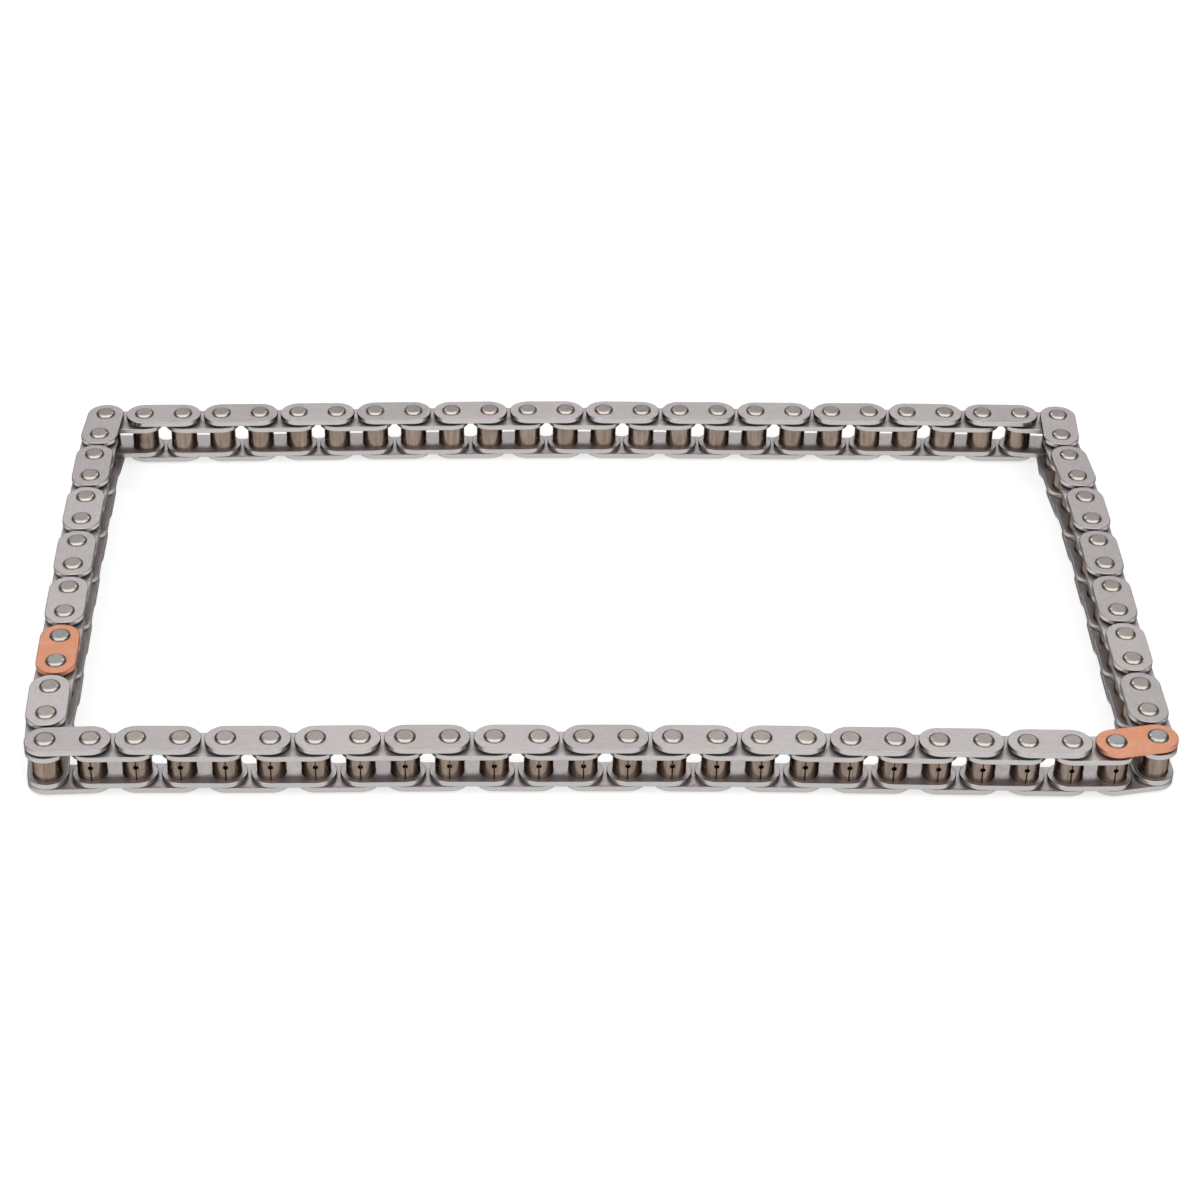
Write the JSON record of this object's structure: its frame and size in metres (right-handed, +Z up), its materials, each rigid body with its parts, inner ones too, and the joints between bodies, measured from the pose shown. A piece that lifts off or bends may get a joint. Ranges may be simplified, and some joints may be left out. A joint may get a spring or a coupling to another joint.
{
  "type": "timing chain",
  "caption": "Endless single-row bush timing chain lying on its side in a near-rectangular loop, with two copper-coloured marked plates.",
  "frame": {"origin": "middle of the loop in plan, in the plane the lower pin ends rest on", "axes": "+X along the two long sides of the loop, +Y towards the far long side, +Z up along the pins"},
  "size_m": [0.2484, 0.1462, 0.0128],
  "materials": {
    "satin_steel": "satin, tumbled, lightly oiled",
    "copper_mark": "matt copper-coloured coating"
  },
  "bodies": {
    "outer_link_01": {"outer_link_01": "satin_steel"},
    "inner_link_02": {"inner_link_02": "satin_steel"},
    "outer_link_03": {"outer_link_03": "satin_steel"},
    "link_pair_04_05": {"link_pair_04_05": "satin_steel"},
    "link_pair_06_07": {"link_pair_06_07": "satin_steel"},
    "link_pair_08_09": {"link_pair_08_09": "satin_steel"},
    "link_pair_10_11": {"link_pair_10_11": "satin_steel"},
    "link_pair_12_13": {"link_pair_12_13": "satin_steel"},
    "link_pair_14_15": {"link_pair_14_15": "satin_steel"},
    "link_pair_16_17": {"link_pair_16_17": "satin_steel"},
    "link_pair_18_19": {"link_pair_18_19": "satin_steel"},
    "inner_link_20": {"inner_link_20": "satin_steel"},
    "outer_link_21": {"outer_link_21": "satin_steel"},
    "inner_link_22": {"inner_link_22": "satin_steel"},
    "outer_link_23": {"outer_link_23": "satin_steel"},
    "inner_link_24": {"inner_link_24": "satin_steel"},
    "outer_link_25": {"outer_link_25": "satin_steel", "marked_plate_1": "copper_mark"},
    "inner_link_26": {"inner_link_26": "satin_steel"},
    "outer_link_27": {"outer_link_27": "satin_steel"},
    "inner_link_28": {"inner_link_28": "satin_steel"},
    "outer_link_29": {"outer_link_29": "satin_steel"},
    "inner_link_30": {"inner_link_30": "satin_steel"},
    "link_pair_31_32": {"link_pair_31_32": "satin_steel"},
    "link_pair_33_34": {"link_pair_33_34": "satin_steel"},
    "outer_link_35": {"outer_link_35": "satin_steel"},
    "inner_link_36": {"inner_link_36": "satin_steel"},
    "outer_link_37": {"outer_link_37": "satin_steel"},
    "inner_link_38": {"inner_link_38": "satin_steel"},
    "outer_link_39": {"outer_link_39": "satin_steel"},
    "inner_link_40": {"inner_link_40": "satin_steel"},
    "outer_link_41": {"outer_link_41": "satin_steel"},
    "inner_link_42": {"inner_link_42": "satin_steel"},
    "link_pair_43_44": {"link_pair_43_44": "satin_steel"},
    "link_pair_45_46": {"link_pair_45_46": "satin_steel"},
    "link_pair_47_48": {"link_pair_47_48": "satin_steel"},
    "link_pair_49_50": {"link_pair_49_50": "satin_steel"},
    "link_pair_51_52": {"link_pair_51_52": "satin_steel"},
    "link_pair_53_54": {"link_pair_53_54": "satin_steel"},
    "link_pair_55_56": {"link_pair_55_56": "satin_steel"},
    "link_pair_57_58": {"link_pair_57_58": "satin_steel"},
    "outer_link_59": {"outer_link_59": "satin_steel"},
    "inner_link_60": {"inner_link_60": "satin_steel"},
    "outer_link_61": {"outer_link_61": "satin_steel"},
    "inner_link_62": {"inner_link_62": "satin_steel"},
    "outer_link_63": {"outer_link_63": "satin_steel"},
    "inner_link_64": {"inner_link_64": "satin_steel"},
    "outer_link_65": {"outer_link_65": "satin_steel"},
    "inner_link_66": {"inner_link_66": "satin_steel"},
    "outer_link_67": {"outer_link_67": "satin_steel"},
    "inner_link_68": {"inner_link_68": "satin_steel"},
    "outer_link_69": {"outer_link_69": "satin_steel"},
    "link_pair_70_71": {"link_pair_70_71": "satin_steel"},
    "link_pair_72_73": {"link_pair_72_73": "satin_steel"},
    "inner_link_74": {"inner_link_74": "satin_steel"},
    "outer_link_75": {"outer_link_75": "satin_steel", "marked_plate_2": "copper_mark"},
    "inner_link_76": {"inner_link_76": "satin_steel"},
    "outer_link_77": {"outer_link_77": "satin_steel"},
    "inner_link_78": {"inner_link_78": "satin_steel"}
  },
  "joints": [
    {"name": "pin_14", "type": "hinge", "parent": "link_pair_12_13", "child": "link_pair_14_15", "pos_m": [0.00546, -0.06632, 0.00638], "axis": [0, 0, 1], "range_deg": [-2.39, 2.39]},
    {"name": "pin_16", "type": "hinge", "parent": "link_pair_14_15", "child": "link_pair_16_17", "pos_m": [0.02451, -0.06658, 0.00638], "axis": [0, 0, 1], "range_deg": [-1.45, 1.45]},
    {"name": "pin_18", "type": "hinge", "parent": "link_pair_16_17", "child": "link_pair_18_19", "pos_m": [0.04356, -0.06701, 0.00638], "axis": [0, 0, 1], "range_deg": [-1.58, 1.58]},
    {"name": "pin_20", "type": "hinge", "parent": "link_pair_18_19", "child": "inner_link_20", "pos_m": [0.0626, -0.06758, 0.00638], "axis": [0, 0, 1], "range_deg": [-1.9, 1.9]},
    {"name": "pin_21", "type": "hinge", "parent": "inner_link_20", "child": "outer_link_21", "pos_m": [0.07212, -0.06786, 0.00638], "axis": [0, 0, 1], "range_deg": [-2.14, 2.14]},
    {"name": "pin_22", "type": "hinge", "parent": "outer_link_21", "child": "inner_link_22", "pos_m": [0.08164, -0.06811, 0.00638], "axis": [0, 0, 1], "range_deg": [-2.45, 2.45]},
    {"name": "pin_23", "type": "hinge", "parent": "inner_link_22", "child": "outer_link_23", "pos_m": [0.09116, -0.06841, 0.00638], "axis": [0, 0, 1], "range_deg": [-11.43, 11.43]},
    {"name": "corner_curl_front_right", "type": "hinge", "parent": "outer_link_23", "child": "inner_link_24", "pos_m": [0.10068, -0.06863, 0.00638], "axis": [0, 0, 1], "range_deg": [0, 18]},
    {"name": "pin_25", "type": "hinge", "parent": "inner_link_24", "child": "outer_link_25", "pos_m": [0.11021, -0.06859, 0.00638], "axis": [0, 0, 1], "range_deg": [0, 17.63]},
    {"name": "pin_26", "type": "hinge", "parent": "outer_link_25", "child": "inner_link_26", "pos_m": [0.11956, -0.06681, 0.00638], "axis": [0, 0, 1], "range_deg": [-69.86, 0]},
    {"name": "pin_27", "type": "hinge", "parent": "inner_link_26", "child": "outer_link_27", "pos_m": [0.1192, -0.05729, 0.00638], "axis": [0, 0, 1], "range_deg": [0, 17]},
    {"name": "pin_28", "type": "hinge", "parent": "outer_link_27", "child": "inner_link_28", "pos_m": [0.1192, -0.04777, 0.00638], "axis": [0, 0, 1], "range_deg": [0, 16.34]},
    {"name": "bow_short_sides", "type": "hinge", "parent": "inner_link_28", "child": "outer_link_29", "pos_m": [0.11921, -0.03824, 0.00638], "axis": [0, 0, 1], "range_deg": [-12, 12]},
    {"name": "pin_30", "type": "hinge", "parent": "outer_link_29", "child": "inner_link_30", "pos_m": [0.11931, -0.02872, 0.00638], "axis": [0, 0, 1], "range_deg": [-4.7, 4.7]},
    {"name": "pin_31", "type": "hinge", "parent": "inner_link_30", "child": "link_pair_31_32", "pos_m": [0.11931, -0.01919, 0.00638], "axis": [0, 0, 1], "range_deg": [-4.72, 4.72]},
    {"name": "pin_33", "type": "hinge", "parent": "link_pair_31_32", "child": "link_pair_33_34", "pos_m": [0.11958, -0.00014, 0.00638], "axis": [0, 0, 1], "range_deg": [-4.79, 4.79]},
    {"name": "pin_35", "type": "hinge", "parent": "link_pair_33_34", "child": "outer_link_35", "pos_m": [0.11977, 0.0189, 0.00638], "axis": [0, 0, 1], "range_deg": [-4.86, 4.86]},
    {"name": "pin_36", "type": "hinge", "parent": "outer_link_35", "child": "inner_link_36", "pos_m": [0.11977, 0.02843, 0.00638], "axis": [0, 0, 1], "range_deg": [-4.87, 4.87]},
    {"name": "pin_37", "type": "hinge", "parent": "inner_link_36", "child": "outer_link_37", "pos_m": [0.11952, 0.03795, 0.00638], "axis": [0, 0, 1], "range_deg": [-11.9, 11.9]},
    {"name": "pin_38", "type": "hinge", "parent": "outer_link_37", "child": "inner_link_38", "pos_m": [0.11896, 0.04746, 0.00638], "axis": [0, 0, 1], "range_deg": [0, 16.39]},
    {"name": "pin_39", "type": "hinge", "parent": "inner_link_38", "child": "outer_link_39", "pos_m": [0.11856, 0.05698, 0.00638], "axis": [0, 0, 1], "range_deg": [0, 16.02]},
    {"name": "pin_40", "type": "hinge", "parent": "outer_link_39", "child": "inner_link_40", "pos_m": [0.11922, 0.06648, 0.00638], "axis": [0, 0, 1], "range_deg": [-70.15, 0]},
    {"name": "pin_41", "type": "hinge", "parent": "inner_link_40", "child": "outer_link_41", "pos_m": [0.10973, 0.06724, 0.00638], "axis": [0, 0, 1], "range_deg": [0, 18.29]},
    {"name": "pin_42", "type": "hinge", "parent": "outer_link_41", "child": "inner_link_42", "pos_m": [0.1002, 0.06742, 0.00638], "axis": [0, 0, 1], "range_deg": [0, 20.99]},
    {"name": "pin_43", "type": "hinge", "parent": "inner_link_42", "child": "link_pair_43_44", "pos_m": [0.09068, 0.06762, 0.00638], "axis": [0, 0, 1], "range_deg": [-9.45, 9.45]},
    {"name": "pin_45", "type": "hinge", "parent": "link_pair_43_44", "child": "link_pair_45_46", "pos_m": [0.07163, 0.0679, 0.00638], "axis": [0, 0, 1], "range_deg": [-5.09, 5.09]},
    {"name": "pin_47", "type": "hinge", "parent": "link_pair_45_46", "child": "link_pair_47_48", "pos_m": [0.05258, 0.06807, 0.00638], "axis": [0, 0, 1], "range_deg": [-4.89, 4.89]},
    {"name": "pin_49", "type": "hinge", "parent": "link_pair_47_48", "child": "link_pair_49_50", "pos_m": [0.03354, 0.06833, 0.00638], "axis": [0, 0, 1], "range_deg": [-4.3, 4.3]},
    {"name": "pin_51", "type": "hinge", "parent": "link_pair_49_50", "child": "link_pair_51_52", "pos_m": [0.01449, 0.06851, 0.00638], "axis": [0, 0, 1], "range_deg": [-3.44, 3.44]},
    {"name": "pin_12", "type": "hinge", "parent": "link_pair_12_13", "child": "link_pair_10_11", "pos_m": [-0.01359, -0.06626, 0.00638], "axis": [0, 0, -1], "range_deg": [-1.73, 1.73]},
    {"name": "pin_10", "type": "hinge", "parent": "link_pair_10_11", "child": "link_pair_08_09", "pos_m": [-0.03264, -0.06612, 0.00638], "axis": [0, 0, -1], "range_deg": [-2.08, 2.08]},
    {"name": "pin_08", "type": "hinge", "parent": "link_pair_08_09", "child": "link_pair_06_07", "pos_m": [-0.05169, -0.06625, 0.00638], "axis": [0, 0, -1], "range_deg": [-2.6, 2.6]},
    {"name": "pin_06", "type": "hinge", "parent": "link_pair_06_07", "child": "link_pair_04_05", "pos_m": [-0.07074, -0.06637, 0.00638], "axis": [0, 0, -1], "range_deg": [-3.3, 3.3]},
    {"name": "bow_long_sides", "type": "hinge", "parent": "link_pair_04_05", "child": "outer_link_03", "pos_m": [-0.08979, -0.06627, 0.00638], "axis": [0, 0, -1], "range_deg": [-10, 10]},
    {"name": "corner_curl_front_left", "type": "hinge", "parent": "outer_link_03", "child": "inner_link_02", "pos_m": [-0.09931, -0.06622, 0.00638], "axis": [0, 0, -1], "range_deg": [0, 18]},
    {"name": "pin_02", "type": "hinge", "parent": "inner_link_02", "child": "outer_link_01", "pos_m": [-0.10883, -0.06636, 0.00638], "axis": [0, 0, -1], "range_deg": [0, 17.51]},
    {"name": "pin_01", "type": "hinge", "parent": "outer_link_01", "child": "inner_link_78", "pos_m": [-0.11835, -0.06675, 0.00638], "axis": [0, 0, -1], "range_deg": [-71.12, 0]},
    {"name": "pin_78", "type": "hinge", "parent": "inner_link_78", "child": "outer_link_77", "pos_m": [-0.11916, -0.05725, 0.00638], "axis": [0, 0, -1], "range_deg": [0, 19.04]},
    {"name": "pin_77", "type": "hinge", "parent": "outer_link_77", "child": "inner_link_76", "pos_m": [-0.11945, -0.04773, 0.00638], "axis": [0, 0, -1], "range_deg": [0, 17.23]},
    {"name": "pin_76", "type": "hinge", "parent": "inner_link_76", "child": "outer_link_75", "pos_m": [-0.11925, -0.03821, 0.00638], "axis": [0, 0, -1], "range_deg": [-11.97, 11.97]},
    {"name": "pin_75", "type": "hinge", "parent": "outer_link_75", "child": "inner_link_74", "pos_m": [-0.11939, -0.02869, 0.00638], "axis": [0, 0, -1], "range_deg": [-4.84, 4.84]},
    {"name": "pin_74", "type": "hinge", "parent": "inner_link_74", "child": "link_pair_72_73", "pos_m": [-0.11948, -0.01916, 0.00638], "axis": [0, 0, -1], "range_deg": [-4.84, 4.84]},
    {"name": "pin_72", "type": "hinge", "parent": "link_pair_72_73", "child": "link_pair_70_71", "pos_m": [-0.11968, -0.00011, 0.00638], "axis": [0, 0, -1], "range_deg": [-4.86, 4.86]},
    {"name": "pin_70", "type": "hinge", "parent": "link_pair_70_71", "child": "outer_link_69", "pos_m": [-0.11977, 0.01894, 0.00638], "axis": [0, 0, -1], "range_deg": [-4.82, 4.82]},
    {"name": "pin_69", "type": "hinge", "parent": "outer_link_69", "child": "inner_link_68", "pos_m": [-0.11974, 0.02846, 0.00638], "axis": [0, 0, -1], "range_deg": [-4.77, 4.77]},
    {"name": "pin_68", "type": "hinge", "parent": "inner_link_68", "child": "outer_link_67", "pos_m": [-0.11969, 0.03799, 0.00638], "axis": [0, 0, -1], "range_deg": [-12.12, 12.12]},
    {"name": "pin_67", "type": "hinge", "parent": "outer_link_67", "child": "inner_link_66", "pos_m": [-0.11966, 0.04751, 0.00638], "axis": [0, 0, -1], "range_deg": [0, 18.88]},
    {"name": "pin_66", "type": "hinge", "parent": "inner_link_66", "child": "outer_link_65", "pos_m": [-0.11947, 0.05704, 0.00638], "axis": [0, 0, -1], "range_deg": [0, 19.2]},
    {"name": "pin_65", "type": "hinge", "parent": "outer_link_65", "child": "inner_link_64", "pos_m": [-0.11884, 0.06654, 0.00638], "axis": [0, 0, -1], "range_deg": [-69.93, 0]},
    {"name": "pin_64", "type": "hinge", "parent": "inner_link_64", "child": "outer_link_63", "pos_m": [-0.10932, 0.06661, 0.00638], "axis": [0, 0, -1], "range_deg": [0, 16.44]},
    {"name": "pin_63", "type": "hinge", "parent": "outer_link_63", "child": "inner_link_62", "pos_m": [-0.09979, 0.06677, 0.00638], "axis": [0, 0, -1], "range_deg": [0, 13.22]},
    {"name": "pin_62", "type": "hinge", "parent": "inner_link_62", "child": "outer_link_61", "pos_m": [-0.09027, 0.06697, 0.00638], "axis": [0, 0, -1], "range_deg": [-10.71, 10.71]},
    {"name": "pin_61", "type": "hinge", "parent": "outer_link_61", "child": "inner_link_60", "pos_m": [-0.08075, 0.06721, 0.00638], "axis": [0, 0, -1], "range_deg": [-3.63, 3.63]},
    {"name": "pin_60", "type": "hinge", "parent": "inner_link_60", "child": "outer_link_59", "pos_m": [-0.07123, 0.06746, 0.00638], "axis": [0, 0, -1], "range_deg": [-3.62, 3.62]},
    {"name": "pin_59", "type": "hinge", "parent": "outer_link_59", "child": "link_pair_57_58", "pos_m": [-0.0617, 0.06769, 0.00638], "axis": [0, 0, -1], "range_deg": [-3.55, 3.55]},
    {"name": "pin_57", "type": "hinge", "parent": "link_pair_57_58", "child": "link_pair_55_56", "pos_m": [-0.04266, 0.06817, 0.00638], "axis": [0, 0, -1], "range_deg": [-3.29, 3.29]},
    {"name": "pin_55", "type": "hinge", "parent": "link_pair_55_56", "child": "link_pair_53_54", "pos_m": [-0.02361, 0.06849, 0.00638], "axis": [0, 0, -1], "range_deg": [-2.92, 2.92]}
  ],
  "couplings": [
    {"joint": "pin_14", "follows": "bow_long_sides", "ratio": -0.2382},
    {"joint": "pin_16", "follows": "bow_long_sides", "ratio": -0.1441},
    {"joint": "pin_18", "follows": "bow_long_sides", "ratio": -0.1579},
    {"joint": "pin_20", "follows": "bow_long_sides", "ratio": -0.1897},
    {"joint": "pin_21", "follows": "bow_long_sides", "ratio": -0.2134},
    {"joint": "pin_22", "follows": "bow_long_sides", "ratio": -0.244},
    {"joint": "pin_23", "follows": "bow_long_sides", "ratio": 1.1423},
    {"joint": "pin_25", "follows": "corner_curl_front_right", "ratio": 0.979},
    {"joint": "pin_26", "follows": "corner_curl_front_right", "ratio": -3.881},
    {"joint": "pin_27", "follows": "corner_curl_front_right", "ratio": 0.9441},
    {"joint": "pin_28", "follows": "corner_curl_front_right", "ratio": 0.9076},
    {"joint": "pin_30", "follows": "bow_short_sides", "ratio": -0.3915},
    {"joint": "pin_31", "follows": "bow_short_sides", "ratio": -0.3925},
    {"joint": "pin_33", "follows": "bow_short_sides", "ratio": -0.3991},
    {"joint": "pin_35", "follows": "bow_short_sides", "ratio": -0.4043},
    {"joint": "pin_36", "follows": "bow_short_sides", "ratio": -0.4058},
    {"joint": "pin_37", "follows": "bow_short_sides", "ratio": 0.9914},
    {"joint": "pin_38", "follows": "corner_curl_front_left", "ratio": 0.9101},
    {"joint": "pin_39", "follows": "corner_curl_front_left", "ratio": 0.8896},
    {"joint": "pin_40", "follows": "corner_curl_front_left", "ratio": -3.8969},
    {"joint": "pin_41", "follows": "corner_curl_front_left", "ratio": 1.0156},
    {"joint": "pin_42", "follows": "corner_curl_front_left", "ratio": 1.1659},
    {"joint": "pin_43", "follows": "bow_long_sides", "ratio": 0.9446},
    {"joint": "pin_45", "follows": "bow_long_sides", "ratio": -0.5088},
    {"joint": "pin_47", "follows": "bow_long_sides", "ratio": -0.4884},
    {"joint": "pin_49", "follows": "bow_long_sides", "ratio": -0.4297},
    {"joint": "pin_51", "follows": "bow_long_sides", "ratio": -0.343},
    {"joint": "pin_12", "follows": "bow_long_sides", "ratio": -0.171},
    {"joint": "pin_10", "follows": "bow_long_sides", "ratio": -0.207},
    {"joint": "pin_08", "follows": "bow_long_sides", "ratio": -0.2593},
    {"joint": "pin_06", "follows": "bow_long_sides", "ratio": -0.3298},
    {"joint": "pin_02", "follows": "corner_curl_front_left", "ratio": 0.9723},
    {"joint": "pin_01", "follows": "corner_curl_front_left", "ratio": -3.9506},
    {"joint": "pin_78", "follows": "corner_curl_front_left", "ratio": 1.0576},
    {"joint": "pin_77", "follows": "corner_curl_front_left", "ratio": 0.9569},
    {"joint": "pin_76", "follows": "bow_short_sides", "ratio": 0.9971},
    {"joint": "pin_75", "follows": "bow_short_sides", "ratio": -0.4025},
    {"joint": "pin_74", "follows": "bow_short_sides", "ratio": -0.4033},
    {"joint": "pin_72", "follows": "bow_short_sides", "ratio": -0.4047},
    {"joint": "pin_70", "follows": "bow_short_sides", "ratio": -0.4014},
    {"joint": "pin_69", "follows": "bow_short_sides", "ratio": -0.3973},
    {"joint": "pin_68", "follows": "bow_short_sides", "ratio": 1.0095},
    {"joint": "pin_67", "follows": "corner_curl_front_right", "ratio": 1.0488},
    {"joint": "pin_66", "follows": "corner_curl_front_right", "ratio": 1.0663},
    {"joint": "pin_65", "follows": "corner_curl_front_right", "ratio": -3.8849},
    {"joint": "pin_64", "follows": "corner_curl_front_right", "ratio": 0.9131},
    {"joint": "pin_63", "follows": "corner_curl_front_right", "ratio": 0.7343},
    {"joint": "pin_62", "follows": "bow_long_sides", "ratio": 1.0703},
    {"joint": "pin_61", "follows": "bow_long_sides", "ratio": -0.3629},
    {"joint": "pin_60", "follows": "bow_long_sides", "ratio": -0.3612},
    {"joint": "pin_59", "follows": "bow_long_sides", "ratio": -0.3549},
    {"joint": "pin_57", "follows": "bow_long_sides", "ratio": -0.3288},
    {"joint": "pin_55", "follows": "bow_long_sides", "ratio": -0.2911}
  ]
}
